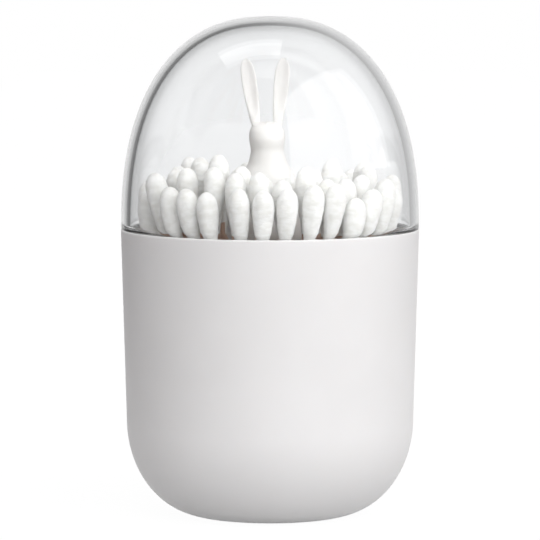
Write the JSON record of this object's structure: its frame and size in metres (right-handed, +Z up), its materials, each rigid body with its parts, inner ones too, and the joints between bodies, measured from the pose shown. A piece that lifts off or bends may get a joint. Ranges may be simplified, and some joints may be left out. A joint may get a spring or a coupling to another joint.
{
  "type": "cotton swab box",
  "caption": "Round white box for cotton swabs: a plain cup with a clear domed lid that lifts off, swabs standing in rings round a plain rabbit figure.",
  "frame": {"origin": "centre of the standing face under the cup, on the table", "axes": "+Z up along the axis of the round box; front towards -Y, +X to the right of the front"},
  "size_m": [0.08, 0.08, 0.134],
  "materials": {
    "white_plastic": "satin moulded",
    "clear_plastic": "clear polished plastic",
    "figure_plastic": "matt moulded",
    "cotton": "wound cotton",
    "swab_stick": "plain birch"
  },
  "bodies": {
    "base": {"base_cup": "white_plastic", "platform": "white_plastic", "bunny_figure": "figure_plastic", "swab_01": "cotton", "swab_02": "cotton", "swab_03": "cotton", "swab_04": "cotton", "swab_05": "cotton", "swab_06": "cotton", "swab_07": "cotton", "swab_08": "cotton", "swab_09": "cotton", "swab_10": "cotton", "swab_11": "cotton", "swab_12": "cotton", "swab_13": "cotton", "swab_14": "cotton", "swab_15": "cotton", "swab_16": "cotton", "swab_17": "cotton", "swab_18": "cotton", "swab_19": "cotton", "swab_20": "cotton", "swab_21": "cotton", "swab_22": "cotton", "swab_23": "cotton", "swab_24": "cotton", "swab_25": "cotton", "swab_26": "cotton", "swab_27": "cotton", "swab_28": "cotton", "swab_29": "cotton", "swab_30": "cotton", "swab_31": "cotton", "swab_32": "cotton", "swab_33": "cotton", "swab_34": "cotton", "swab_35": "cotton", "swab_36": "cotton", "swab_37": "cotton", "swab_38": "cotton", "swab_39": "cotton", "swab_40": "cotton", "swab_41": "cotton", "swab_42": "cotton", "swab_43": "cotton", "swab_44": "cotton", "swab_45": "cotton", "swab_46": "cotton", "swab_47": "cotton", "swab_48": "cotton", "swab_49": "cotton", "swab_50": "cotton", "swab_51": "cotton", "swab_52": "cotton", "swab_53": "cotton", "swab_54": "cotton", "swab_55": "cotton", "swab_56": "cotton"},
    "lid": {"dome_lid": "clear_plastic"}
  },
  "joints": [
    {"name": "lid_lift", "type": "slide", "parent": "base", "child": "lid", "axis": [0, 0, 1], "range_m": [0, 0.06]}
  ]
}
